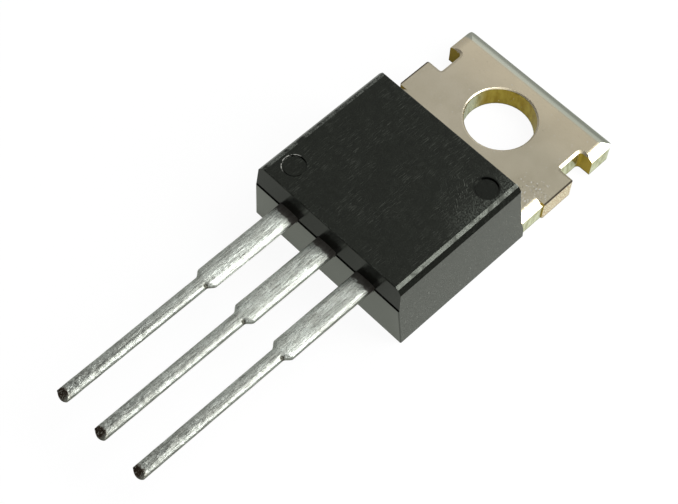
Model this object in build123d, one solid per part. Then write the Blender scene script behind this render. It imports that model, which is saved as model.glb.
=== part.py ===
from build123d import *
import math
import os

# A three-lead power transistor in a moulded flat-tab package. Millimetres, +Z up.
# The origin is the axis of the mounting hole on the back face. +Y points to the tab's free
# end, the leads point to -Y, and the back face lies on Z = 0.

# Metal tab, the part that shows
tab_thickness = 1.27
tab_width = 9.72
hole_diameter = 3.66
hole_to_end = 3.06
hole_to_notch = 1.48
end_corner_radius = 0.3
notch_depth = 0.79
notch_length = 1.53
notch_far_radius = 0.2
notch_near_radius = 0.12
stub_proud = 0.1
stub_length = 2.1
stub_corner_radius = 0.1
edge_roll_width = 0.55
edge_roll_drop = 0.22
notch_roll_width = 0.14
notch_roll_drop = 0.07
hole_roll = 0.12

# Metal tab, the part inside the moulding
shoulder_inset = 0.1
embedded_narrowing = 0.71
embedded_corner = 0.4
lock_step_width = 0.35
lock_step_height = 0.5
groove_inset = 0.9
groove_width = 0.4
groove_depth = 0.2
end_wall = 1.15

# Moulded body
hole_to_body = 3.74
body_length = 8.53
body_beside_tab = 0.13
body_height = 4.6
side_draft = 4.1
tab_end_draft = 6.2
lead_end_draft_low = 3.4
lead_end_draft_high = 3.3
parting_ledge = 0.05
rim_proud = 0.17
rim_height = 0.6
edge_chamfer_width = 0.2
edge_chamfer_drop = 0.28
edge_facet_width = 0.2
edge_facet_drop = 0.05
corner_round = 0.06
top_edge_round = 0.05
pin_mark_diameter = 1.2
pin_mark_side = 3.52
pin_mark_from_lead_end = 1.34
pin_mark_from_tab_end = 1.52
shallow_mark_depth = 0.04
deep_mark_depth = 0.1
pin_ring_width = 0.06
pin_ring_depth = 0.05

# Leads outside the moulding
lead_pitch = 2.54
lead_below_top = 1.58
lead_thickness = 0.48
lead_width = 1.26
lead_tail_width = 0.76
lead_edge_round = 0.12
tin_crown = 0.05
lead_reach = 13.88
shoulder_reach = 5.1
shoulder_taper = 0.4
shoulder_round = 0.15
tip_bulge = 0.14
tip_bevel_length = 0.4
tip_bevel_drop = 0.22

# Leads inside the moulding
lead_embed = 0.45
paddle_width = 2.1
paddle_length = 1.6
paddle_corner = 0.25
paddle_shift = 0.1
lock_hole_diameter = 0.5
foot_margin = 0.3
foot_length = 1.0
foot_side_wall = 0.2
strap_inner_radius = 0.05
strap_bend_inset = 0.4
stake_diameter = 0.6
stake_clearance = 0.05
stake_head_overhang = 0.12
stake_head_height = 0.1

# Die, its solder and the bond wires
solder_thickness = 0.06
solder_margin = 0.15
die_size = 3.4
die_thickness = 0.25
die_gap = 0.4
base_wire_diameter = 0.3
emitter_wire_diameter = 0.38
wire_clearance = 0.02
wire_loop_rise = 0.35
wire_loop_reach = 0.45
wire_bend_radius = 0.25
wire_flats = 6
bond_foot_length = 0.6
bond_foot_share = 0.7
base_bond_inset = 0.7
base_bond_setback = 0.65
emitter_bond_inset = 0.5
emitter_bond_spacing = 0.9
emitter_bond_setback = 1.3
paddle_bond_setback = 0.45
emitter_paddle_spacing = 0.85

# Heights and stations worked out from the sizes above
body_width = tab_width + 2 * body_beside_tab
lead_plane = body_height - lead_below_top
lead_top = lead_plane + lead_thickness / 2
lead_bottom = lead_plane - lead_thickness / 2
tab_end_y = -hole_to_body
lead_end_y = tab_end_y - body_length
tip_y = lead_end_y - lead_reach
embed_y = lead_end_y + lead_embed
header_end_y = lead_end_y + end_wall
full_width_end_y = tab_end_y - shoulder_inset
foot_start_y = header_end_y + foot_margin
foot_end_y = foot_start_y + foot_length
stake_side = lead_width / 2 + stake_clearance + stake_head_overhang + stake_diameter / 2
die_near_y = foot_end_y + die_gap
die_centre_y = die_near_y + die_size / 2
paddle_end_y = embed_y + paddle_length
solder_top = tab_thickness + solder_thickness
die_top = solder_top + die_thickness
side_top = body_height - edge_facet_drop - edge_chamfer_drop
reach = 10 * body_length
standing = (Align.CENTER, Align.CENTER, Align.MIN)
hanging = (Align.CENTER, Align.CENTER, Align.MAX)


def drop(height, draft):
    """How far a drafted wall leans in over a height."""
    return height * math.tan(math.radians(draft))


def block(x0, x1, y0, y1, z0, z1):
    """A box between two corners."""
    return Pos(x0, y0, z0) * Box(x1 - x0, y1 - y0, z1 - z0, align=(Align.MIN, Align.MIN, Align.MIN))


def across(points, half_length):
    """A prism along Y whose outline is given as (x, z) points."""
    outline = Plane.XZ * make_face(Polyline(*points, close=True))
    return extrude(outline, half_length, both=True)


def along(points, half_width):
    """A prism along X whose outline is given as (y, z) points."""
    outline = Plane.YZ * make_face(Polyline(*points, close=True))
    return extrude(outline, half_width, both=True)


def rolled_strip(plane, start, end):
    """A strip of the plate, square at its start and rolled down at its end as punching leaves it."""
    inner = (end - edge_roll_width, tab_thickness)
    outer = (end, tab_thickness - edge_roll_drop)
    roll = TangentArc(inner, outer, tangent=(1, 0))
    rest = Polyline(outer, (end, 0), (start, 0), (start, tab_thickness), inner)
    return extrude(plane * make_face([roll, *rest.edges()]), reach, both=True)


def rolled_plate():
    """The tab's full width, with a soft upper edge all round but for the end in the moulding."""
    length = hole_to_end - full_width_end_y
    plan = Rectangle(tab_width, length, align=(Align.CENTER, Align.MAX))
    plan = fillet(plan.vertices().group_by(Axis.Y)[-1], end_corner_radius)
    plate = extrude(Pos(0, hole_to_end, 0) * plan, tab_thickness)
    half = rolled_strip(Plane.XZ, 0, tab_width / 2)
    plate &= half + mirror(half, Plane.YZ)
    return plate & rolled_strip(Plane.YZ, full_width_end_y, hole_to_end)


def notch_punch(side):
    """What the punch takes out of one side, flared where the upper edge rolls in."""
    inner_x = tab_width / 2 - notch_depth
    plan = Rectangle(2 * notch_depth, notch_length, align=(Align.MIN, Align.MAX))
    inner = plan.vertices().group_by(Axis.X)[0].sort_by(Axis.Y)
    plan = fillet(inner[1], notch_far_radius)
    inner = plan.vertices().group_by(Axis.X)[0].sort_by(Axis.Y)
    plan = fillet(inner[0], notch_near_radius)
    plan = Pos(inner_x, hole_to_notch, 0) * plan
    flare_angle = -math.degrees(math.atan2(notch_roll_width, notch_roll_drop))
    flare = extrude(Pos(0, 0, tab_thickness - notch_roll_drop) * plan, notch_roll_drop, taper=flare_angle)
    punch = extrude(plan, tab_thickness) + flare
    return punch if side > 0 else mirror(punch, Plane.YZ)


def tie_stub(side):
    """The sheared rest of the bar that held the tabs together in the strip."""
    inner_x = tab_width / 2 - notch_depth
    plan = Rectangle(notch_depth + stub_proud, stub_length, align=(Align.MIN, Align.MAX))
    plan = fillet(plan.vertices().group_by(Axis.X)[-1], stub_corner_radius)
    stub = extrude(Pos(inner_x, hole_to_notch - notch_length, 0) * plan, tab_thickness)
    return stub if side > 0 else mirror(stub, Plane.YZ)


def embedded_plate():
    """The narrower end inside the moulding, stepped so that the plastic grips under it."""
    length = full_width_end_y - header_end_y
    edge_x = tab_width / 2 - embedded_narrowing
    plan = Rectangle(2 * edge_x, length, align=(Align.CENTER, Align.MAX))
    plan = fillet(plan.vertices().group_by(Axis.Y)[0], embedded_corner)
    plate = extrude(Pos(0, full_width_end_y, 0) * plan, tab_thickness)
    for side in (-1, 1):
        inner, outer = sorted((side * (edge_x - lock_step_width), side * reach))
        plate -= block(inner, outer, header_end_y, full_width_end_y, 0, lock_step_height)
    plate -= block(-edge_x, edge_x, header_end_y, header_end_y + lock_step_width, 0, lock_step_height)
    groove_y = tab_end_y - groove_inset
    half = groove_width / 2
    groove = [(groove_y - half, tab_thickness), (groove_y + half, tab_thickness),
              (groove_y, tab_thickness - groove_depth)]
    return plate - along(groove, edge_x)


def stake_places():
    """Centres of the two stakes that hold the collector lead's foot."""
    return [(side * stake_side, (foot_start_y + foot_end_y) / 2) for side in (-1, 1)]


def stakes():
    """Bosses raised from the tab through the foot, with upset heads."""
    foot_top = tab_thickness + lead_thickness
    made = []
    for x, y in stake_places():
        shank = Cylinder(stake_diameter / 2, lead_thickness, align=standing)
        head = Cylinder(stake_diameter / 2 + stake_head_overhang, stake_head_height, align=standing)
        made += [Pos(x, y, tab_thickness) * shank, Pos(x, y, foot_top) * head]
    return made


def heat_sink_tab():
    """Copper tab: heat spreader, mounting hole, notches, sheared stubs and stakes."""
    tab = rolled_plate() + embedded_plate()
    for side in (-1, 1):
        tab = tab + tie_stub(side) - notch_punch(side)
    tab -= Cylinder(hole_diameter / 2, tab_thickness, align=standing)
    circles = tab.edges().filter_by(GeomType.CIRCLE).group_by(Axis.Z)[-1]
    tab = fillet(circles.sort_by(SortBy.RADIUS)[-1], hole_roll)
    for stake in stakes():
        tab += stake
    return tab


def crowned_bar():
    """A long bar with the lead's thickness, whose tinned top and bottom are slightly crowned."""
    wide = lead_width / 2
    edge_top = lead_top - tin_crown
    edge_bottom = lead_bottom + tin_crown
    top = ThreePointArc((-wide, edge_top), (0, lead_top), (wide, edge_top))
    bottom = ThreePointArc((-wide, edge_bottom), (0, lead_bottom), (wide, edge_bottom))
    sides = [Line((x, edge_bottom), (x, edge_top)) for x in (-wide, wide)]
    return extrude(Plane.XZ * make_face([top, bottom, *sides]), reach, both=True)


def rounded_lead(x):
    """One lead from inside the moulding to its sheared tip, with tin-rounded edges."""
    wide = lead_width / 2
    tail = lead_tail_width / 2
    shoulder_y = lead_end_y - shoulder_reach
    tail_y = shoulder_y - shoulder_taper
    cut_y = tip_y + tip_bulge
    right = [(tail, cut_y), (tail, tail_y), (wide, shoulder_y), (wide, embed_y)]
    left = [(-px, py) for px, py in reversed(right)]
    sheared_end = ThreePointArc((-tail, cut_y), (0, tip_y), (tail, cut_y))
    plan = make_face([*Polyline(*right, *left).edges(), sheared_end])
    shoulders = [v for v in plan.vertices() if cut_y < v.Y - shoulder_round < embed_y - lead_embed]
    plan = fillet(shoulders, shoulder_round)
    lead = extrude(Pos(0, 0, lead_bottom) * plan, lead_thickness)
    ends = lead.faces().sort_by(Axis.Y)
    end_edges = ends[0].edges() + ends[-1].edges()
    flat = lead.edges().group_by(Axis.Z)
    sides = [edge for edge in flat[0] + flat[-1] if edge not in end_edges]
    lead = fillet(sides, lead_edge_round) & crowned_bar()
    bevel = [(tip_y, lead_top), (tip_y + tip_bevel_length, lead_top),
             (tip_y, lead_top - tip_bevel_drop)]
    return Pos(x, 0, 0) * (lead - along(bevel, wide))


def paddle(side):
    """The bonding paddle at a lead's inner end, with a hole that the plastic locks through."""
    centre_x = side * (lead_pitch + paddle_shift)
    plan = Rectangle(paddle_width, paddle_length, align=(Align.CENTER, Align.MIN))
    plan = fillet(plan.vertices(), paddle_corner)
    plan -= Pos(0, lock_hole_diameter, 0) * Circle(lock_hole_diameter / 2)
    return extrude(Pos(centre_x, embed_y, lead_bottom) * plan, lead_thickness)


def outer_lead(side):
    """Base or emitter lead: a rounded lead that ends in a bonding paddle."""
    return rounded_lead(side * lead_pitch) + paddle(side)


def collector_lead():
    """Middle lead: set down inside the moulding to a foot that is staked to the tab."""
    foot_z = tab_thickness + lead_thickness / 2
    bend_y = embed_y + strap_bend_inset
    bend_radius = lead_thickness / 2 + strap_inner_radius
    line = FilletPolyline((embed_y, lead_plane), (bend_y, lead_plane), (foot_start_y, foot_z),
                          (foot_end_y, foot_z), radius=bend_radius)
    strap = extrude(Plane.YZ * trace(line, lead_thickness), lead_width / 2, both=True)
    foot_side = stake_side + stake_diameter / 2 + foot_side_wall
    foot = block(-foot_side, foot_side, foot_start_y, foot_end_y,
                 tab_thickness, tab_thickness + lead_thickness)
    lead = rounded_lead(0) + strap + foot
    for x, y in stake_places():
        lead -= Pos(x, y, foot_z) * Cylinder(stake_diameter / 2, 2 * lead_thickness)
    return lead


def die_solder():
    """Solder layer under the die, with a little squeezed out round it."""
    size = die_size + 2 * solder_margin
    return Pos(0, die_centre_y, tab_thickness + solder_thickness / 2) * Box(size, size, solder_thickness)


def silicon_die():
    """The transistor's chip."""
    return Pos(0, die_centre_y, solder_top + die_thickness / 2) * Box(die_size, die_size, die_thickness)


def bond_foot(plane, x, z, diameter):
    """The flattened weld at one end of a bond wire."""
    width = diameter * math.sqrt(2)
    plan = SlotOverall(bond_foot_length + width, width)
    return plane * Pos(x, z, 0) * Rot(-90, 0, 0) * extrude(plan, bond_foot_share * diameter)


def bond_wire(start, end, diameter):
    """A wire from a paddle's top to the die's top, in the upright plane through both.

    Its section has flats, which keeps the many bends light.
    """
    start = Vector(*start)
    end = Vector(*end)
    flat = Vector(end.X - start.X, end.Y - start.Y, 0)
    plane = Plane(origin=(start.X, start.Y, 0), x_dir=flat, z_dir=flat.cross(Vector(0, 0, 1)))
    half = bond_foot_length / 2
    lift = diameter / 2 + wire_clearance
    run = flat.length
    route = [(0, start.Z + lift), (half, start.Z + lift),
             (half + wire_loop_reach, start.Z + lift + wire_loop_rise),
             (run - half, end.Z + lift), (run, end.Z + lift)]
    path = plane * FilletPolyline(*route, radius=wire_bend_radius)
    outline = RegularPolygon(diameter / 2, wire_flats, major_radius=False, rotation=180 / wire_flats)
    section = Plane(origin=path @ 0, x_dir=(0, 0, 1), z_dir=path % 0) * outline
    wire = sweep(section, path)
    wire += bond_foot(plane, 0, start.Z, diameter)
    return wire + bond_foot(plane, run, end.Z, diameter)


def base_bond_wire():
    """One thin wire from the base paddle to the die's corner."""
    start = (-lead_pitch, paddle_end_y - paddle_bond_setback, lead_top)
    end = (base_bond_inset - die_size / 2, die_near_y + base_bond_setback, die_top)
    return bond_wire(start, end, base_wire_diameter)


def emitter_bond_wire(index):
    """One of the two thicker wires from the emitter paddle to the die."""
    start_x = lead_pitch + paddle_shift + (0.5 - index) * emitter_paddle_spacing
    end_x = die_size / 2 - emitter_bond_inset - index * emitter_bond_spacing
    start = (start_x, paddle_end_y - paddle_bond_setback, lead_top)
    end = (end_x, die_near_y + emitter_bond_setback, die_top)
    return bond_wire(start, end, emitter_wire_diameter)


def moulding_blank():
    """The body's outer form: a section across and a section along, crossed."""
    base = body_width / 2
    top = base - drop(side_top, side_draft)
    right = [(base, 0), (top, side_top), (top - edge_chamfer_width, side_top + edge_chamfer_drop),
             (top - edge_chamfer_width - edge_facet_width, body_height)]
    left = [(-x, z) for x, z in reversed(right)]
    section_across = across(right + left, reach)
    lower_y = lead_end_y + drop(lead_plane, lead_end_draft_low)
    upper_y = lead_end_y + drop(body_height - lead_plane, lead_end_draft_high)
    far_y = tab_end_y - drop(body_height - tab_thickness, tab_end_draft)
    section_along = along([(lower_y, 0), (lead_end_y, lead_plane), (upper_y, body_height),
                           (far_y, body_height), (tab_end_y, tab_thickness), (tab_end_y, 0)], reach)
    blank = section_across & section_along
    upright = [edge for edge in blank.edges() if abs((edge % 0.5).Z) > 0.9]
    return fillet(upright, corner_round)


def parting_step():
    """What the upper mould half leaves short of the lower one at the lead end."""
    upper_y = lead_end_y + drop(body_height - lead_plane, lead_end_draft_high)
    return along([(lead_end_y - parting_ledge, lead_plane), (lead_end_y + parting_ledge, lead_plane),
                  (upper_y + parting_ledge, body_height), (upper_y - parting_ledge, body_height)], reach)


def tab_end_rim():
    """The low rim that the lower mould half leaves round the tab."""
    outline = [(tab_end_y - rim_proud, 0), (tab_end_y + rim_proud, 0),
               (tab_end_y + rim_proud, rim_height), (tab_end_y, tab_thickness),
               (tab_end_y - rim_proud, tab_thickness)]
    base = body_width / 2
    top = base - drop(tab_thickness, side_draft)
    section = [(base, 0), (top, tab_thickness), (-top, tab_thickness), (-base, 0)]
    return along(outline, reach) & across(section, reach)


def pin_marks():
    """Round marks left by the mould's ejector pins on the top face, with a finer groove round each."""
    marks = []
    for side, y, depth in ((-1, lead_end_y + pin_mark_from_lead_end, shallow_mark_depth),
                           (1, tab_end_y - pin_mark_from_tab_end, deep_mark_depth)):
        ring_depth = depth + pin_ring_depth
        ring = Cylinder(pin_mark_diameter / 2, ring_depth, align=hanging)
        ring -= Cylinder(pin_mark_diameter / 2 - pin_ring_width, ring_depth, align=hanging)
        mark = ring + Cylinder(pin_mark_diameter / 2, depth, align=hanging)
        marks.append(Pos(side * pin_mark_side, y, body_height) * mark)
    return marks


def moulded_body(inner_parts):
    """Black moulding, cast round everything inside it."""
    body = moulding_blank() - parting_step() + tab_end_rim()
    ends = body.edges().group_by(Axis.Z)[-1].filter_by(Axis.X)
    body = fillet(ends, top_edge_round)
    for tool in pin_marks() + inner_parts:
        body -= tool
    return body


def build():
    """Every sub-part by name."""
    parts = {
        "heat_sink_tab": heat_sink_tab(),
        "base_lead": outer_lead(-1),
        "collector_lead": collector_lead(),
        "emitter_lead": outer_lead(1),
        "die_solder": die_solder(),
        "silicon_die": silicon_die(),
        "base_bond_wire": base_bond_wire(),
        "emitter_bond_wire_1": emitter_bond_wire(0),
        "emitter_bond_wire_2": emitter_bond_wire(1),
    }
    parts["moulded_body"] = moulded_body(list(parts.values()))
    return parts


os.makedirs("parts", exist_ok=True)
for name, solid in build().items():
    export_step(solid, f"parts/{name}.step")
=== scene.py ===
import math

import bmesh
import bpy
from mathutils import Matrix, Vector, noise


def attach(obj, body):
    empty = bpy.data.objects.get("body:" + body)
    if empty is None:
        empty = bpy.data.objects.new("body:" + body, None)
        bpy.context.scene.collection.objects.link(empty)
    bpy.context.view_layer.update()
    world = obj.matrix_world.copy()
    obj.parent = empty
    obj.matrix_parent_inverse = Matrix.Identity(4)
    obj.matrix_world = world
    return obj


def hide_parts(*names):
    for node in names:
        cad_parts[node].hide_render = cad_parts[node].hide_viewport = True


# Metres in a millimetre: all lengths and places below are in millimetres, in the part's frame
MM = 0.001

# The photograph's camera, with its angles in degrees
CAMERA_AT = (27.79, -41.56, 72.61)
CAMERA_AZIMUTH = 42.59
CAMERA_ELEVATION = 60.02
CAMERA_ROLL = 3.42
CAMERA_LENS = 91.74
CAMERA_SENSOR = 36
CAMERA_NEAR = 2
CAMERA_FAR = 20000

# The softbox: the directions its length spans, its half width in degrees, how far off it stands,
# what it faces and how bright it is
SOFTBOX_OVERHEAD_END = (0.02, 0.37, 0.93)
SOFTBOX_LOW_END = (0.88, 0.37, 0.30)
SOFTBOX_HALF_WIDTH = 14.0
SOFTBOX_DISTANCE = 280
SOFTBOX_AIM = (0, -11, 2)
SOFTBOX_RADIANCE = 5.5

# The room's brightness: overhead, low down opposite the softbox and low down on its side, and that
# of the backdrop, which only the camera sees
SKY_LEVEL = 0.42
LOW_LEVEL = 0.40
LOW_LEVEL_BY_SOFTBOX = 0.05
BACKDROP_LEVEL = 1.0

# The X of the directions over which the low brightness changes sides, and the Z of those over which
# it gives way to the sky's
LOW_SIDES = (-0.4, 0.8)
HORIZON = (0.05, 0.6)

# Patches of the room: a direction, the cosines to it at the patch's outer and inner edge, and a level.
# The glows add light, and the card round the camera leaves only its level's share of it.
BACK_GLOW = ((-0.34, 0.76, 0.56), (0.94, 0.99), 0.35)
FRONT_GLOW = ((0.62, -0.59, 0.5), (0.93, 0.98), 2.0)
DARK_CARD = ((-0.34, -0.42, 0.84), (0.80, 0.93), 0.08)

# The floor: its half width, how far it lies under the part, and its paper
FLOOR_HALF = 3000
FLOOR_DROP = 0.02
PAPER_COLOUR = (0.85, 0.85, 0.85, 1)

# The floor's own glow: how bright it is for the camera, what share of the paper it covers for the
# camera and in reflections, and its tint for each
FLOOR_WHITE = 1.02
GLOW_SHARE_SEEN = 0.92
GLOW_SHARE_REFLECTED = 0.7
GLOW_TINT_SEEN = (1, 1, 1)
GLOW_TINT_REFLECTED = (0.95, 1.0, 0.88)

# A painted pool of light: how bright the glow is in reflections, each as two places and the levels
# there. It grows towards the softbox's side, is dimmer beyond the tab, and under the leads is bright
# only close to the moulding
PAINTED_POOL_ACROSS = (-4.0, 5.0, 0.35, 0.85)
PAINTED_POOL_BEHIND = (2.0, 6.0, 1.0, 0.4)
PAINTED_POOL_UNDER_LEADS = (-12.9, -14.0, 0.95, 0.37)

# Where the brightness under the leads takes over
LEADS_BEGIN_Y = (-11.0, -12.5)

# The leads as the solids have them
LEAD_PITCH = 2.54
LEAD_MIDDLE = 3.02
LEAD_HALF_THICKNESS = 0.24
LEAD_HALF_WIDTH = 0.63
TAIL_HALF_WIDTH = 0.38
SHOULDER_Y = -17.37
TAIL_Y = -17.77
TIP_Y = -26.15
TIP_BULGE = 0.14
TIP_BULGE_LENGTH = 0.6
TIP_BEVEL_LENGTH = 0.4
TIP_BEVEL_DROP = 0.22

# Each lead's node, its place in the row, and the slope at which its tin falls away on one side
LEADS = (("base_lead", -1, 0.08), ("collector_lead", 0, 0.02), ("emitter_lead", 1, 0.0))

# Where the tinned surface meets the solid's inner end, and how finely it is divided
LEAD_CUT_Y = -12.0
LEAD_STATION = 0.05
LEAD_TOP_STEPS = 44
LEAD_UNDER_STEPS = 24

# What keeps the tinned surface inside the solid: its share of the thickness, and its margins
THICKNESS_SHARE = 0.98
TIP_MARGIN = 0.004
SIDE_MARGIN = 0.002

# The height under which hollows fade towards a lead's sides, the angle in degrees from which an
# edge is sharp, and the distance within which the solid's vertices are one
FADE_HEIGHT = 0.1
SHARP_ANGLE = 40
WELD_DISTANCE = 1e-4

# The crown of a lead's section: a higher power is flatter on top and fuller at the sides
TAIL_POWER = 2.5
WIDE_POWER = 3.2

# The tin's unevenness: its depth, its size across a lead and its size along it
RIDGES = (0.010, 0.13, 3.5)
LUMPS = (0.012, 0.45, 0.9)
WRINKLES = (0.030, 0.22, 0.35)
WAVES = (0.012, 0.30, 0.16)
WAVY_SIDES = (0.012, 1, 0.7)
WRINKLES_FROM_Y = -19.0
WRINKLES_FULL_Y = -24.0

# The dent at the shoulder: its place on each lead, its depth and its spread, a squared length
DENT_AT = (0.27, -17.72)
DENT_DEPTH = 0.08
DENT_SPREAD = 0.005

# Steps between the seeds of the noise for each lead, each kind of unevenness and the underside
LEAD_SEED = 7.3
KIND_SEED = 10
UNDERSIDE_SEED = 50

# The levels between which most of a noise lies
NOISE_RANGE = (0.3, 0.7)

# The cosines between which a face of the moulding comes to count as looking up or along an axis
LEVEL = (0.985, 0.995)
NEARLY_LEVEL = (0.9, 0.94)
SQUARE = (0.9, 0.96)
ASLANT = (0.70, 0.76)

# Places on the moulding's top, each with the outer and the inner radius of its edge
MOULDING_TOP = 4.6
SHALLOW_MARK_AT = (-3.52, -10.93)
SHALLOW_MARK = ((*SHALLOW_MARK_AT, MOULDING_TOP - 0.05), 0.60, 0.54)
DEEP_MARK = ((3.52, -5.26, MOULDING_TOP - 0.1), 0.70, 0.64)
SCRAPED_ROUND_MARK = ((3.9, -6.0, MOULDING_TOP), 2.4, 0.9)

# The painted highlight along the shallow mark's rim: its centre, its radius, the edges of its width,
# and the side of the mark it is on
ARC_CENTRE = (*SHALLOW_MARK_AT, MOULDING_TOP)
ARC_RADIUS = 0.62
ARC_EDGES = (0.035, 0.01)
ARC_SIDE_X = (-3.6, -3.9)

# The height at which the lead end's upper band begins, and the part of the top that is most handled
UPPER_BAND_Z = (2.95, 3.1)
HANDLED_X = (3.0, 4.2)
HANDLED_Y = (-9.0, -6.5)

# The moulding's own two shades, and what lies on them, each as a colour and how strongly it shows
MOULDING_SHADES = ((0.001, 0.0013, 0.0008), (0.003, 0.0036, 0.0026))
MOULDING_COLOURS = {
    # Painted highlight on one side of the shallow mark's rim
    "rim_highlight": ((0.38, 0.38, 0.35), 1.0),
    "fleck": ((0.013, 0.0145, 0.0115), 1.0),
    "worn": ((0.06, 0.064, 0.055), 1.0),
    "handled": ((0.05, 0.056, 0.048), 1.0),
    # Painted shade in the deep mark's hollow
    "shaded_deep_mark": ((0.002, 0.002, 0.002), 0.6),
    # Partly wear, partly a painted highlight on the edge facet
    "rubbed_and_sheen": ((0.11, 0.118, 0.105), 1.0),
    "pit": ((0.13, 0.135, 0.12), 0.85),
}
MOULDING_ROUGHNESS = {
    "top": (0.24, 0.28),
    "walls": 0.2,
    "marks": 0.12,
    "chamfer": 0.12,
    "lead_end": 0.10,
    "upper_band": 0.16,
    "facet": 0.34,
    "rubbed_facet": 0.2,
    "more_where_worn": 0.2,
}
MOULDING_IOR = 1.47
# A painted tint on the moulding's reflections, standing in for the light's green-yellow colour
MOULDING_TINT = (0.93, 1.0, 0.86, 1)

# How strongly the fine scratches show beside the nicks
SCRATCHES_SHOW = 0.5

# The moulding's relief: its depth, and how much of the grain and of the marks each face has
MOULDING_RELIEF = 0.0045
GRAIN_ON_TOP = 0.6
GRAIN_ON_SIDES = 2.6
SCRAPES_IN_RELIEF = 2.0
RELIEF_ON_LEAD_END = 0.12

# The Z of a face's direction, from the tab's rolled edges to its walls
TAB_WALL = (0.6, 0.3)

# The Y of a face's direction from which a wall gets painted golden shade, and from which any face is
# rougher
GOLDEN_SHADE_FACING = (0.1, -0.5)
ROUGHER_FACING = (-0.1, -0.3)

# Where the golden walls are painted darker, as shade in the notches
NOTCH_SHADE_X = (3.2, 3.8)

# Where the stubs' sheared end faces and the dark burr above them begin, and the dark foot of the walls
SHEARED_X = (4.9, 4.93)
BURR_X = (4.86, 4.92)
BURR_Z = (1.17, 1.22)
FOOT_Z = (0.12, 0.0)

# The tab's top grows warmer towards its free end, has painted shade along that end's rolled edge,
# and has painted shade towards +X and painted light towards -X
WARM_Y = (-0.8, 2.8)
FAR_EDGE_SHADE_Y = (2.42, 2.6)
SHADE_AND_LIGHT_X = (4.5, -4.0)

# The corner where bright and dull specks are thick, with what it adds to their noise
SCUFFED_CORNER = ((4.0, -2.2, 1.27), 1.5, 0.4, 0.13)
SPECK_LEVELS = (0.745, 0.78)

# The tab's finishes and its painted light and shade, each as two shades, and what lies on them, as a
# colour and how strongly it shows
TAB_SHADES = {
    "flat": ((0.69, 0.63, 0.475), (0.72, 0.66, 0.51)),
    "shade_and_light_across": ((0.93, 0.93, 0.91), (1.09, 1.08, 1.07)),
    "pale": ((0.43, 0.44, 0.24), (0.70, 0.73, 0.52)),
    # Painted golden shade on the walls that face the moulding
    "gold_shade": ((0.41, 0.28, 0.032), (0.57, 0.44, 0.075)),
    "copper": ((0.54, 0.37, 0.22), (0.99, 0.93, 0.74)),
}
TAB_COLOURS = {
    "warm": ((0.86, 0.76, 0.56), 1.0),
    "far_edge_shade": ((0.57, 0.60, 0.51), 1.0),
    "notch_shade": ((0.36, 0.25, 0.022), 1.0),
    "dull_speck": ((0.30, 0.27, 0.19), 0.5),
    "bright_speck": ((0.97, 0.97, 0.92), 0.7),
    "burr": ((0.05, 0.03, 0.018), 0.9),
    "foot": ((0.16, 0.13, 0.06), 0.7),
}
TAB_ROUGHNESS = {"top": (0.24, 0.27), "walls": 0.22, "leadward": 0.42, "sheared": 0.45}

# The tab's relief: its depth, and how much it has of each texture
TAB_RELIEF = 0.003
TAB_GRAIN = 0.5
TAB_DRAWN = 0.4
TAB_SHEARED_GRAIN = 5.0
TAB_SMEARED_WALLS = 1.5

# Places along the leads: where the tips' wear begins and is full, where the sheared ends and the
# dark band by the moulding begin, and how far a ragged edge strays
TIP_WEAR_Y = (-18.5, -25.0)
WORKED_Y = (-21.5, -25.0)
SHEARED_END_Y = (-25.54, -25.66)
DARK_BAND_Y = (-12.50, -12.38)
RAGGED_EDGE = 0.35

# The painted shade in the dent's crease, measured from a lead's middle
CREASE_SHADE = ((0.30, -17.75, 0), 0.15, 0.07)

# The emitter lead's broad part gets more painted shade over its highlight, from its shoulder inwards
MORE_SHADED_X = (1.5, 2.0)
MORE_SHADED_Y = (-17.0, -14.5)

# Across a lead, as shares of its half width: the crest and the edge beyond it, which get painted shade
# over their highlight, and the tip's dark part, which is partly painted shade
CREST_NEAR = (-0.2, 0.3)
CREST_FAR = (0.95, 0.6)
EDGE = (0.6, 0.9)
DARK_PART_OF_TIP = (0.75, 0.25)

# How strongly the tin's marks and its painted shade show, where that changes along a lead, and how
# far the dark band hides the metal
CREST_SHOWS = {"tail": 0.55, "wide": 0.12, "more_shaded": 0.4}
EDGE_SHOWS = {"plain": 0.4, "more_shaded": 0.7}
WORKED_SHOWS = (0.1, 0.5)
SPOTS_SHOW = (0.35, 0.7)
DARK_BAND_SHOWS = 0.9

# The tin's two shades, and what lies on them, each as a colour and how strongly it shows
LEAD_SHADES = ((0.60, 0.63, 0.57), (0.80, 0.855, 0.785))
LEAD_COLOURS = {
    "line": ((0.26, 0.27, 0.235), 0.75),
    "sand": ((0.15, 0.155, 0.135), 0.85),
    # Painted shade over the highlights, and the worked tin's wear
    "wear_and_shade": ((0.12, 0.12, 0.105), 1.0),
    "spots_and_crease_shade": ((0.10, 0.10, 0.08), 1.0),
    "cut": ((0.30, 0.29, 0.24), 0.6),
    # Partly the cut tip's dark metal, partly painted shade
    "sheared": ((0.07, 0.05, 0.035), 1.0),
    "dark_band": ((0.02, 0.012, 0.008), DARK_BAND_SHOWS),
}

# The tin's roughness: the levels of the mottling between which it changes, and its value at each
LEAD_ROUGHNESS = (0.3, 0.75, 0.40, 0.28)

# The tin's relief: its depth, and how much it has of each texture, the ripple from body to tip
LEAD_RELIEF = 0.011
RIPPLE_IN_RELIEF = (0.8, 1.6)
SAND_IN_RELIEF = 0.9
SPOTS_IN_RELIEF = 0.5

# The pieces inside the moulding: two shades, how metallic, how rough, and the size of the mottling
SILICON = (((0.10, 0.11, 0.14), (0.20, 0.21, 0.25)), 0.0, 0.2, 0.6)
SOLDER = (((0.40, 0.40, 0.39), (0.55, 0.55, 0.53)), 1.0, 0.45, 0.3)
WIRE = (((0.70, 0.71, 0.72), (0.82, 0.83, 0.84)), 1.0, 0.3, 0.15)
WIRES = ("base_bond_wire", "emitter_bond_wire_1", "emitter_bond_wire_2")

# How far the mottling changes the roughness, and its depth as a share of its size
MOTTLED_ROUGHNESS = 0.06
MOTTLED_RELIEF = 0.03


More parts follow.
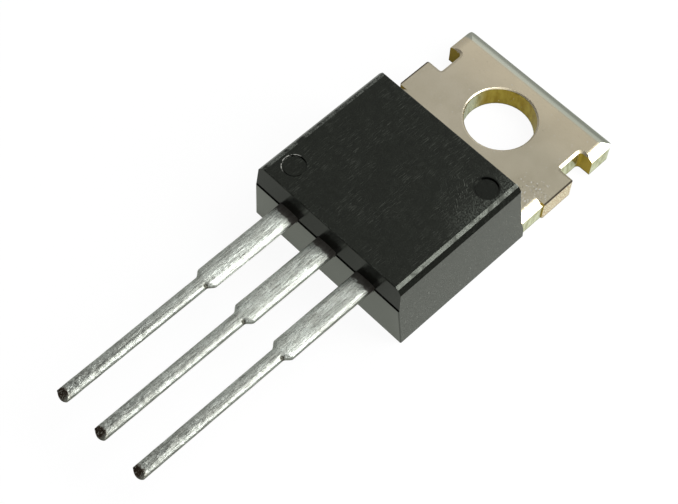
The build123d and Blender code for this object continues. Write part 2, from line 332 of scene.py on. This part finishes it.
def make_camera():
    """The photograph's viewpoint, with the roll it was held at."""
    az, el, roll = (math.radians(a) for a in (CAMERA_AZIMUTH, CAMERA_ELEVATION, CAMERA_ROLL))
    back = Vector((math.sin(az) * math.cos(el), -math.cos(az) * math.cos(el), math.sin(el)))
    right = Vector((math.cos(az), math.sin(az), 0))
    up = back.cross(right)
    turned_right = math.cos(roll) * right + math.sin(roll) * up
    turned_up = -math.sin(roll) * right + math.cos(roll) * up
    data = bpy.data.cameras.new("camera")
    data.lens = CAMERA_LENS
    data.sensor_width = CAMERA_SENSOR
    data.clip_start = CAMERA_NEAR * MM
    data.clip_end = CAMERA_FAR * MM
    camera = bpy.data.objects.new("camera", data)
    place = Matrix((turned_right, turned_up, back)).transposed().to_4x4()
    place.translation = Vector(CAMERA_AT) * MM
    camera.matrix_world = place
    bpy.context.scene.collection.objects.link(camera)
    bpy.context.scene.camera = camera


def make_softbox():
    """A long softbox that faces the part, from nearly overhead down to one side."""
    start = Vector(SOFTBOX_OVERHEAD_END).normalized()
    end = Vector(SOFTBOX_LOW_END).normalized()
    way = (start + end).normalized()
    longwise = (end - start).normalized()
    distance = SOFTBOX_DISTANCE * MM
    data = bpy.data.lights.new("softbox", "AREA")
    data.shape = "RECTANGLE"
    data.size = 2 * distance * math.tan(start.angle(end) / 2)
    data.size_y = 2 * distance * math.tan(math.radians(SOFTBOX_HALF_WIDTH))
    data.energy = SOFTBOX_RADIANCE * math.pi * data.size * data.size_y
    lamp = bpy.data.objects.new("softbox", data)
    place = Matrix((longwise, way.cross(longwise), way)).transposed().to_4x4()
    place.translation = Vector(SOFTBOX_AIM) * MM + way * distance
    lamp.matrix_world = place
    bpy.context.scene.collection.objects.link(lamp)


class Nodes:
    """Short calls for building a node tree."""

    def __init__(self, tree):
        self.tree = tree

    def new(self, kind, **settings):
        node = self.tree.nodes.new(kind)
        for key, value in settings.items():
            setattr(node, key, value)
        return node

    def put(self, socket, value):
        if isinstance(value, bpy.types.NodeSocket):
            self.tree.links.new(value, socket)
        else:
            socket.default_value = value

    def math(self, operation, *values):
        node = self.new("ShaderNodeMath", operation=operation)
        for socket, value in zip(node.inputs, values):
            self.put(socket, value)
        return node.outputs[0]

    def chain(self, operation, first, *others):
        """One value after another, joined by the operation."""
        for other in others:
            first = self.math(operation, first, other)
        return first

    def total(self, *values):
        return self.chain("ADD", *values)

    def product(self, *values):
        return self.chain("MULTIPLY", *values)

    def largest(self, *values):
        return self.chain("MAXIMUM", *values)

    def absolute(self, value):
        return self.math("ABSOLUTE", value)

    def rest(self, share):
        """What a share leaves of the whole."""
        return self.math("SUBTRACT", 1.0, share)

    def ramp(self, value, start, end, at_start=0.0, at_end=1.0):
        """A level that passes smoothly from at_start to at_end as the value goes from start to end."""
        node = self.new("ShaderNodeMapRange", interpolation_type="SMOOTHSTEP")
        for socket, given in zip(node.inputs, (value, start, end, at_start, at_end)):
            self.put(socket, given)
        return node.outputs[0]

    def blend(self, share, a, b):
        """A number between a and b."""
        node = self.new("ShaderNodeMix", data_type="FLOAT")
        for socket, value in zip(node.inputs[:1] + node.inputs[2:4], (share, a, b)):
            self.put(socket, value)
        return node.outputs[0]

    def mix(self, share, a, b, way="MIX"):
        """A colour between a and b."""
        node = self.new("ShaderNodeMix", data_type="RGBA", blend_type=way)
        self.put(node.inputs[0], share)
        for socket, value in ((node.inputs[6], a), (node.inputs[7], b)):
            if isinstance(value, tuple):
                value = (*value, 1)
            self.put(socket, value)
        return node.outputs[2]

    def paint(self, under, colour, *shares):
        """A colour over another one, as far as every share allows."""
        return self.mix(self.product(*shares), under, colour)

    def vector(self, x, y, z):
        node = self.new("ShaderNodeCombineXYZ")
        for socket, value in zip(node.inputs, (x, y, z)):
            self.put(socket, value)
        return node.outputs[0]

    def split(self, vector):
        node = self.new("ShaderNodeSeparateXYZ")
        self.put(node.inputs[0], vector)
        return node.outputs[:3]

    def where(self):
        """The point on the part, in millimetres, as x, y, z and as a vector."""
        coordinates = self.new("ShaderNodeTexCoord")
        scale = self.new("ShaderNodeVectorMath", operation="SCALE")
        self.put(scale.inputs[0], coordinates.outputs["Object"])
        scale.inputs["Scale"].default_value = 1 / MM
        return (*self.split(scale.outputs[0]), scale.outputs[0])

    def facing(self):
        """The surface's direction as x, y, z."""
        return self.split(self.new("ShaderNodeTexCoord").outputs["Normal"])

    def toward(self, direction, given):
        """How nearly a direction is the given one, as a cosine."""
        node = self.new("ShaderNodeVectorMath", operation="DOT_PRODUCT")
        self.put(node.inputs[0], direction)
        node.inputs[1].default_value = tuple(Vector(given).normalized())
        return node.outputs["Value"]

    def reach(self, point, centre):
        """How far a point is from a given one, in millimetres."""
        node = self.new("ShaderNodeVectorMath", operation="DISTANCE")
        self.put(node.inputs[0], point)
        node.inputs[1].default_value = centre
        return node.outputs["Value"]

    def near(self, point, centre, outer, inner, level=1.0):
        """A round patch that reaches its level at the inner radius and ends at the outer one."""
        return self.ramp(self.reach(point, centre), outer, inner, 0.0, level)

    def turned(self, point, degrees):
        """The point turned about the upright axis, for marks that run aslant."""
        node = self.new("ShaderNodeVectorRotate", rotation_type="Z_AXIS")
        self.put(node.inputs["Vector"], point)
        node.inputs["Angle"].default_value = math.radians(degrees)
        return node.outputs[0]

    def noise(self, point, grain, detail=3.0, roughness=0.55, distortion=0.0, stretch=(1, 1, 1)):
        """Noise whose features are about grain millimetres across, longer where stretched."""
        mapping = self.new("ShaderNodeMapping")
        self.put(mapping.inputs["Vector"], point)
        mapping.inputs["Scale"].default_value = tuple(1 / (grain * s) for s in stretch)
        node = self.new("ShaderNodeTexNoise")
        self.put(node.inputs["Vector"], mapping.outputs[0])
        node.inputs["Scale"].default_value = 1.0
        node.inputs["Detail"].default_value = detail
        node.inputs["Roughness"].default_value = roughness
        node.inputs["Distortion"].default_value = distortion
        return node.outputs[0]

    def specks(self, point, start, end, **form):
        """Patches that begin where a noise is at the start level and are full from the end level on."""
        return self.ramp(self.noise(point, **form), start, end)

    def bump(self, height, depth):
        """A bump whose height of 1 stands depth millimetres proud."""
        node = self.new("ShaderNodeBump")
        node.inputs["Strength"].default_value = 1.0
        node.inputs["Distance"].default_value = depth * MM
        self.put(node.inputs["Height"], height)
        return node.outputs[0]


def new_material(name):
    material = bpy.data.materials.new(name)
    material.use_nodes = True
    return material, Nodes(material.node_tree), material.node_tree.nodes["Principled BSDF"].inputs


def moulding_material():
    """Black moulding compound: scratched on top, smooth on the lead end, finely grained at the sides."""
    material, n, shader = new_material("moulding")
    colours = MOULDING_COLOURS
    levels = MOULDING_ROUGHNESS
    x, y, z, point = n.where()
    nx, ny, nz = n.facing()

    # The faces, and the two round marks on the top
    top = n.ramp(nz, *LEVEL)
    facet = n.product(n.ramp(nz, *NEARLY_LEVEL), n.rest(top))
    lead_end = n.ramp(n.product(ny, -1.0), *SQUARE)
    upper_band = n.product(lead_end, n.ramp(z, *UPPER_BAND_Z))
    side = n.ramp(n.absolute(nx), *SQUARE)
    chamfer = n.product(n.ramp(n.absolute(nx), *ASLANT), n.rest(side))
    shaded_deep_mark = n.near(point, *DEEP_MARK)
    marks = n.largest(shaded_deep_mark, n.near(point, *SHALLOW_MARK))
    open_top = n.product(top, n.rest(shaded_deep_mark))

    # The wear: fine lengthwise scratches, nicks that run aslant and pits. The edge facet's lighter
    # rubbed patches are partly wear and partly a painted highlight
    streaks = n.noise(point, grain=0.038, detail=2.0, stretch=(1, 15, 1))
    fine = n.noise(point, grain=0.05)
    cloud = n.noise(point, grain=0.3, detail=4.0)
    scratches = n.product(n.ramp(streaks, start=0.56, end=0.70),
                          n.specks(point, start=0.40, end=0.62, grain=1.4, detail=2.0))
    nicks = n.specks(n.turned(point, degrees=35), start=0.62, end=0.70, grain=0.05, detail=1.0,
                     stretch=(5, 1, 5))
    nicks = n.product(nicks, n.near(point, *SCRAPED_ROUND_MARK))
    worn = n.product(n.largest(n.product(scratches, SCRATCHES_SHOW), nicks), open_top)
    pits = n.product(n.specks(point, start=0.665, end=0.71, grain=0.085, detail=1.0), side)
    rubbed_and_sheen = n.product(facet, n.specks(point, start=0.36, end=0.56, grain=0.45))
    handled = n.product(n.ramp(x, *HANDLED_X), n.ramp(y, *HANDLED_Y), open_top)
    handled = n.product(handled, n.specks(point, start=0.42, end=0.62, grain=0.09))
    # Painted highlight: a bright broken arc on one side of the shallow mark's rim
    rim_highlight = n.ramp(n.absolute(n.total(n.reach(point, ARC_CENTRE), -ARC_RADIUS)), *ARC_EDGES)
    rim_highlight = n.product(rim_highlight, n.ramp(x, *ARC_SIDE_X), n.specks(point, start=0.45, end=0.52, grain=0.12))

    base = n.mix(n.ramp(cloud, *NOISE_RANGE), *MOULDING_SHADES)
    base = n.paint(base, *colours["rim_highlight"], rim_highlight, top)
    base = n.paint(base, *colours["fleck"], n.ramp(fine, start=0.52, end=0.70), top)
    base = n.paint(base, *colours["worn"], worn)
    base = n.paint(base, *colours["handled"], handled)
    # Painted shade: the deep mark's hollow is darkened
    base = n.paint(base, *colours["shaded_deep_mark"], shaded_deep_mark)
    # Partly wear, partly painted highlight: lighter patches on the edge facet
    base = n.paint(base, *colours["rubbed_and_sheen"], rubbed_and_sheen, n.ramp(fine, start=0.35, end=0.6))
    base = n.paint(base, *colours["pit"], pits)
    n.put(shader["Base Color"], base)

    rough = n.blend(top, levels["walls"], n.ramp(cloud, *NOISE_RANGE, *levels["top"]))
    rough = n.blend(marks, rough, levels["marks"])
    rough = n.blend(chamfer, rough, levels["chamfer"])
    rough = n.blend(lead_end, rough, levels["lead_end"])
    rough = n.blend(upper_band, rough, levels["upper_band"])
    rough = n.blend(facet, rough, n.blend(rubbed_and_sheen, levels["facet"], levels["rubbed_facet"]))
    n.put(shader["Roughness"], n.total(rough, n.product(worn, levels["more_where_worn"])))
    shader["IOR"].default_value = MOULDING_IOR
    shader["Specular Tint"].default_value = MOULDING_TINT

    height = n.total(n.product(fine, n.blend(side, GRAIN_ON_TOP, GRAIN_ON_SIDES)), n.product(streaks, top))
    height = n.total(height, n.product(n.total(nicks, pits), -SCRAPES_IN_RELIEF))
    height = n.product(height, n.blend(lead_end, 1.0, RELIEF_ON_LEAD_END))
    n.put(shader["Normal"], n.bump(height, MOULDING_RELIEF))
    return material


def tab_material():
    """Nickel-plated copper: satin on top, paler on the walls, with painted golden shade where they face
    the moulding.
    """
    material, n, shader = new_material("tab_plating")
    shades = TAB_SHADES
    colours = TAB_COLOURS
    levels = TAB_ROUGHNESS
    x, y, z, point = n.where()
    ny, nz = n.facing()[1:]
    across = n.absolute(x)

    wall = n.ramp(n.absolute(nz), *TAB_WALL)
    # Painted shade: walls that face the moulding are made darker and golden
    golden_shade = n.product(wall, n.ramp(ny, *GOLDEN_SHADE_FACING))
    sheared = n.product(wall, n.ramp(across, *SHEARED_X))
    burr = n.product(n.ramp(across, *BURR_X), n.ramp(z, *BURR_Z))
    foot = n.product(wall, n.ramp(z, *FOOT_Z))

    cloud = n.noise(point, grain=1.5)
    fine = n.noise(point, grain=0.05)
    drawn = n.noise(point, grain=0.06, detail=2.0, stretch=(7, 1, 1))
    smear = n.noise(point, grain=0.25, stretch=(1, 1, 3))
    scuffed = n.near(point, *SCUFFED_CORNER)
    bright, dull = (n.ramp(n.total(n.noise(at, grain=0.10, detail=1.0), scuffed), *SPECK_LEVELS)
                    for at in (point, n.turned(point, degrees=90)))

    flat = n.mix(n.ramp(cloud, *NOISE_RANGE), *shades["flat"])
    flat = n.paint(flat, *colours["warm"], n.ramp(y, *WARM_Y))
    # Painted shade: greyer along the rolled far edge
    flat = n.paint(flat, *colours["far_edge_shade"], n.ramp(y, *FAR_EDGE_SHADE_Y))
    # Painted shade towards +X and painted light towards -X across the top
    flat = n.mix(1.0, flat, n.mix(n.ramp(x, *SHADE_AND_LIGHT_X), *shades["shade_and_light_across"]), "MULTIPLY")
    pale = n.mix(n.ramp(smear, start=0.38, end=0.62), *shades["pale"])
    gold_shade = n.mix(n.ramp(smear, *NOISE_RANGE), *shades["gold_shade"])
    # Painted shade in the notches
    gold_shade = n.paint(gold_shade, *colours["notch_shade"], n.ramp(across, *NOTCH_SHADE_X))
    copper = n.mix(n.specks(point, start=0.42, end=0.58, grain=0.08, roughness=0.7), *shades["copper"])
    base = n.mix(wall, flat, pale)
    base = n.mix(golden_shade, base, gold_shade)
    base = n.mix(sheared, base, copper)
    base = n.paint(base, *colours["dull_speck"], dull)
    base = n.paint(base, *colours["bright_speck"], bright)
    base = n.paint(base, *colours["burr"], burr)
    base = n.paint(base, *colours["foot"], foot)
    n.put(shader["Base Color"], base)
    shader["Metallic"].default_value = 1.0

    rough = n.blend(wall, n.ramp(cloud, *NOISE_RANGE, *levels["top"]), levels["walls"])
    rough = n.blend(n.ramp(ny, *ROUGHER_FACING), rough, levels["leadward"])
    n.put(shader["Roughness"], n.blend(sheared, rough, levels["sheared"]))

    height = n.total(n.product(fine, TAB_GRAIN), n.product(drawn, TAB_DRAWN))
    height = n.total(height, n.product(fine, sheared, TAB_SHEARED_GRAIN))
    height = n.total(height, n.product(smear, wall, TAB_SMEARED_WALLS))
    n.put(shader["Normal"], n.bump(height, TAB_RELIEF))
    return material


def lead_material():
    """Tin over copper alloy: drawn streaks, dull blotches, painted shade, and tips dark where sheared."""
    material, n, shader = new_material("lead_tin")
    colours = LEAD_COLOURS
    x, y, _, point = n.where()
    nearest = n.product(n.math("ROUND", n.math("DIVIDE", x, LEAD_PITCH)), LEAD_PITCH)
    aside = n.math("SUBTRACT", x, nearest)
    share = n.math("DIVIDE", aside, n.ramp(y, TAIL_Y, SHOULDER_Y, TAIL_HALF_WIDTH, LEAD_HALF_WIDTH))

    cloud = n.noise(point, grain=0.30, detail=4.0, stretch=(1, 2.5, 1))
    drawn = n.noise(point, grain=0.04, stretch=(1, 22, 1))
    sand = n.noise(point, grain=0.055, roughness=0.7)
    ripple = n.noise(point, grain=0.14, distortion=0.6, stretch=(1, 1.6, 1))
    pitting = n.noise(point, grain=0.07, detail=2.0)
    near_tip = n.ramp(y, *TIP_WEAR_Y)
    ragged = n.total(y, n.product(n.noise(point, grain=0.2, detail=2.0), RAGGED_EDGE))
    cut = n.ramp(ragged, *SHEARED_END_Y)
    # A dark, dull band on each lead next to the moulding
    dark_band = n.ramp(ragged, *DARK_BAND_Y)

    more_shaded = n.product(n.ramp(x, *MORE_SHADED_X), n.ramp(y, *MORE_SHADED_Y))
    crest_shows = n.blend(more_shaded, CREST_SHOWS["wide"], CREST_SHOWS["more_shaded"])
    crest_shows = n.ramp(y, TAIL_Y, SHOULDER_Y, CREST_SHOWS["tail"], crest_shows)
    # Painted shade that dims the highlight on the crest and at the edge
    crest_shade = n.product(n.ramp(share, *CREST_NEAR), n.ramp(share, *CREST_FAR), crest_shows)
    edge = n.product(n.ramp(share, *EDGE), n.blend(more_shaded, EDGE_SHOWS["plain"], EDGE_SHOWS["more_shaded"]))
    worked = n.specks(point, start=0.42, end=0.56, grain=0.16, distortion=0.8)
    worked = n.product(worked, n.ramp(y, *WORKED_Y, *WORKED_SHOWS))
    spots = n.product(n.ramp(pitting, start=0.60, end=0.70), n.blend(near_tip, *SPOTS_SHOW))
    crease_shade = n.near(n.vector(aside, y, 0.0), *CREASE_SHADE)
    # Partly the cut's own dark metal, partly painted shade on the tip's top
    sheared = n.product(cut, n.ramp(share, *DARK_PART_OF_TIP), n.ramp(pitting, start=0.64, end=0.56))

    base = n.mix(n.ramp(cloud, start=0.32, end=0.68), *LEAD_SHADES)
    base = n.paint(base, *colours["line"], n.ramp(drawn, start=0.50, end=0.36))
    base = n.paint(base, *colours["sand"], n.ramp(sand, start=0.54, end=0.64))
    # Painted shade on the crest and edge, and wear where the tin is worked
    base = n.paint(base, *colours["wear_and_shade"], n.largest(crest_shade, edge, worked))
    # Real spots, and painted shade in the dent's crease
    base = n.paint(base, *colours["spots_and_crease_shade"], n.largest(spots, crease_shade))
    base = n.paint(base, *colours["cut"], cut)
    base = n.paint(base, *colours["sheared"], sheared)
    base = n.paint(base, *colours["dark_band"], dark_band)
    n.put(shader["Base Color"], base)
    n.put(shader["Metallic"], n.rest(n.product(dark_band, DARK_BAND_SHOWS)))
    n.put(shader["Roughness"], n.ramp(cloud, *LEAD_ROUGHNESS))

    height = n.total(drawn, n.product(ripple, n.blend(near_tip, *RIPPLE_IN_RELIEF)))
    height = n.total(height, n.product(sand, SAND_IN_RELIEF), n.product(spots, -SPOTS_IN_RELIEF))
    n.put(shader["Normal"], n.bump(height, LEAD_RELIEF))
    return material


def inner_material(name, shades, metallic, roughness, grain):
    """A plain mottled finish for a piece inside the moulding."""
    material, n, shader = new_material(name)
    cloud = n.noise(n.where()[3], grain=grain, detail=4.0)
    n.put(shader["Base Color"], n.mix(n.ramp(cloud, *NOISE_RANGE), *shades))
    shader["Metallic"].default_value = metallic
    smoothest, roughest = roughness - MOTTLED_ROUGHNESS, roughness + MOTTLED_ROUGHNESS
    n.put(shader["Roughness"], n.ramp(cloud, *NOISE_RANGE, smoothest, roughest))
    n.put(shader["Normal"], n.bump(cloud, grain * MOTTLED_RELIEF))
    return material


def make_floor():
    """A plain white floor that keeps the part's shadow, with a painted pool of light on the softbox's
    side.
    """
    mesh = bpy.data.meshes.new("floor")
    half = FLOOR_HALF * MM
    corners = [(-half, -half, 0), (half, -half, 0), (half, half, 0), (-half, half, 0)]
    mesh.from_pydata(corners, [], [(0, 1, 2, 3)])
    floor = bpy.data.objects.new("floor", mesh)
    floor.location.z = -FLOOR_DROP * MM
    bpy.context.scene.collection.objects.link(floor)
    material = bpy.data.materials.new("floor_paper")
    material.use_nodes = True
    n = Nodes(material.node_tree)
    n.tree.nodes.remove(n.tree.nodes["Principled BSDF"])
    x, y = n.where()[:2]
    # A painted pool of light: the floor's glow in reflections, set by place
    painted_pool = n.product(n.ramp(x, *PAINTED_POOL_ACROSS), n.ramp(y, *PAINTED_POOL_BEHIND))
    painted_pool = n.blend(n.ramp(y, *LEADS_BEGIN_Y), painted_pool, n.ramp(y, *PAINTED_POOL_UNDER_LEADS))
    paper = n.new("ShaderNodeBsdfDiffuse")
    paper.inputs["Color"].default_value = PAPER_COLOUR
    path = n.new("ShaderNodeLightPath")
    plain = n.largest(path.outputs["Is Camera Ray"], path.outputs["Is Transmission Ray"])
    glow = n.new("ShaderNodeEmission")
    n.put(glow.inputs["Color"], n.mix(plain, GLOW_TINT_REFLECTED, GLOW_TINT_SEEN))
    n.put(glow.inputs["Strength"], n.blend(plain, painted_pool, FLOOR_WHITE))
    reflected = n.product(path.outputs["Is Glossy Ray"], GLOW_SHARE_REFLECTED)
    shade = n.new("ShaderNodeMixShader")
    n.put(shade.inputs[0], n.largest(n.product(plain, GLOW_SHARE_SEEN), reflected))
    n.put(shade.inputs[1], paper.outputs[0])
    n.put(shade.inputs[2], glow.outputs[0])
    n.put(n.tree.nodes["Material Output"].inputs["Surface"], shade.outputs[0])
    mesh.materials.append(material)


def make_world():
    """A soft room with a white backdrop, dim low down on the softbox's side and round the camera."""
    world = bpy.data.worlds.new("studio")
    world.use_nodes = True
    n = Nodes(world.node_tree)
    direction = n.new("ShaderNodeTexCoord").outputs["Generated"]
    sideways, _, upward = n.split(direction)

    def patch(place, edges, inside, outside=0.0):
        """A level that changes where the direction nears a place in the room."""
        return n.ramp(n.toward(direction, place), *edges, outside, inside)

    low = n.ramp(sideways, *LOW_SIDES, LOW_LEVEL, LOW_LEVEL_BY_SOFTBOX)
    level = n.blend(n.ramp(upward, *HORIZON), low, SKY_LEVEL)
    level = n.total(level, patch(*BACK_GLOW), patch(*FRONT_GLOW))
    level = n.product(level, patch(*DARK_CARD, outside=1.0))
    seen = n.new("ShaderNodeLightPath").outputs["Is Camera Ray"]
    background = n.tree.nodes["Background"]
    background.inputs["Color"].default_value = (1, 1, 1, 1)
    n.put(background.inputs["Strength"], n.blend(seen, level, BACKDROP_LEVEL))
    bpy.context.scene.world = world


def smooth(value, start, end):
    """0 at the start, 1 at the end, and an even curve between them."""
    t = min(max((value - start) / (end - start), 0), 1)
    return t * t * (3 - 2 * t)


def uneven(x, y, seed, form):
    """A smooth noise from 0 to a depth, with features of the form's sizes across and along a lead."""
    depth, across, lengthwise = form
    return depth * (0.5 + 0.5 * noise.noise(Vector((x / across, y / lengthwise, seed))))


def tin_hollow(x, y, seed, slope):
    """How far the tin lies under a lead's crown, with one side falling away at a slope."""
    near_tip = smooth(y, WRINKLES_FROM_Y, WRINKLES_FULL_Y)
    ridges = uneven(x, y, seed, RIDGES)
    lumps = uneven(x, y, seed + KIND_SEED, LUMPS)
    wrinkles = near_tip * uneven(x, y, seed + 2 * KIND_SEED, WRINKLES)
    waves = uneven(x, y, seed + 3 * KIND_SEED, WAVES)
    dent_x, dent_y = DENT_AT
    dent = DENT_DEPTH * math.exp(-((x - dent_x) ** 2 + (y - dent_y) ** 2) / DENT_SPREAD)
    return ridges + lumps + wrinkles + waves + dent + slope * max(x, 0)


def lead_ring(y, seed, slope):
    """A lead's section at a station, as (x, y, z) points about the lead's middle."""
    shoulder = smooth(y, TAIL_Y, SHOULDER_Y)
    half = TAIL_HALF_WIDTH + (LEAD_HALF_WIDTH - TAIL_HALF_WIDTH) * shoulder
    half -= uneven(0, y, seed + 4 * KIND_SEED, WAVY_SIDES) + SIDE_MARGIN
    power = TAIL_POWER + (WIDE_POWER - TAIL_POWER) * shoulder
    lean = TIP_BULGE * smooth(y, TIP_Y + TIP_BULGE_LENGTH, TIP_Y)
    points = []
    for steps, up in ((LEAD_TOP_STEPS, 1), (LEAD_UNDER_STEPS, -1)):
        for step in range(steps):
            share = math.sin((step / steps - 0.5) * math.pi) * up
            x = half * share
            z = LEAD_HALF_THICKNESS * THICKNESS_SHARE * max(1 - abs(share) ** power, 0) ** (1 / power)
            place = y + lean * share * share
            hollow = tin_hollow(x, place, seed + UNDERSIDE_SEED * (up < 0), slope * shoulder)
            z -= min(hollow, z) * min(z / FADE_HEIGHT, 1)
            if up > 0:
                bevel = TIP_BEVEL_DROP * (TIP_Y + TIP_BEVEL_LENGTH - place) / TIP_BEVEL_LENGTH
                z = min(z, LEAD_HALF_THICKNESS - bevel)
            points.append((x, place, up * z))
    return points


def inner_end(node):
    """The solid's own mesh past the cut, closed there."""
    mesh = bmesh.new()
    mesh.from_mesh(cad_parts[node].data)
    bmesh.ops.remove_doubles(mesh, verts=mesh.verts, dist=WELD_DISTANCE * MM)
    everything = mesh.verts[:] + mesh.edges[:] + mesh.faces[:]
    bmesh.ops.bisect_plane(mesh, geom=everything, plane_co=(0, LEAD_CUT_Y * MM, 0), plane_no=(0, 1, 0),
                           clear_inner=True)
    bmesh.ops.holes_fill(mesh, edges=[edge for edge in mesh.edges if edge.is_boundary])
    return mesh


def add_skin(mesh, rings):
    """Faces between each ring of vertices and the next, and a fan that closes each end."""
    for near, far in zip(rings, rings[1:]):
        for here in range(len(near)):
            after = (here + 1) % len(near)
            mesh.faces.new((near[here], near[after], far[after], far[here]))
    for ring, turn in ((rings[0], -1), (rings[-1], 1)):
        middle = mesh.verts.new(sum((vert.co for vert in ring), Vector()) / len(ring))
        for here in range(len(ring)):
            after = (here + 1) % len(ring)
            pair = (ring[here], ring[after])
            mesh.faces.new((middle, *pair) if turn > 0 else (middle, *reversed(pair)))


def make_lead(node, index, slope, material):
    """A lead with its tinned surface as geometry outside the moulding, in place of the solid."""
    mesh = inner_end(node)
    start = TIP_Y + TIP_MARGIN
    count = round((LEAD_CUT_Y - TIP_Y) / LEAD_STATION)
    rings = []
    for station in range(count + 1):
        ring = lead_ring(start + (LEAD_CUT_Y - start) * station / count, LEAD_SEED * index, slope)
        rings.append([mesh.verts.new(((x + index * LEAD_PITCH) * MM, y * MM, (z + LEAD_MIDDLE) * MM))
                      for x, y, z in ring])
    add_skin(mesh, rings)
    bmesh.ops.recalc_face_normals(mesh, faces=mesh.faces[:])
    for face in mesh.faces:
        face.smooth = True
    data = bpy.data.meshes.new(f"{node}_tinned")
    mesh.to_mesh(data)
    mesh.free()
    data.set_sharp_from_angle(angle=math.radians(SHARP_ANGLE))
    data.materials.append(material)
    lead = bpy.data.objects.new(f"{node}_tinned", data)
    bpy.context.scene.collection.objects.link(lead)
    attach(lead, "root")
    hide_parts(node)


def dress(node, material):
    """Gives a CAD node its finished material."""
    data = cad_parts[node].data
    data.materials.clear()
    data.materials.append(material)


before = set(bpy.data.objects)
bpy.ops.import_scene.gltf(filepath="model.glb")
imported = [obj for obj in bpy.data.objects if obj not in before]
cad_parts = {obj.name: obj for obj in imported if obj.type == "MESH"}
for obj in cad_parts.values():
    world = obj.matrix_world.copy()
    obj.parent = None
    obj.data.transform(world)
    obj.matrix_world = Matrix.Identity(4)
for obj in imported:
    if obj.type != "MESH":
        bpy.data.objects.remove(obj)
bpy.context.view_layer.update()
make_camera()
make_world()
make_floor()
make_softbox()

dress("moulded_body", moulding_material())
dress("heat_sink_tab", tab_material())
tin = lead_material()
for node, index, slope in LEADS:
    make_lead(node, index, slope, tin)
dress("silicon_die", inner_material("silicon", *SILICON))
dress("die_solder", inner_material("solder", *SOLDER))
wire = inner_material("wire", *WIRE)
for node in WIRES:
    dress(node, wire)

bpy.context.scene.view_settings.view_transform = "Standard"
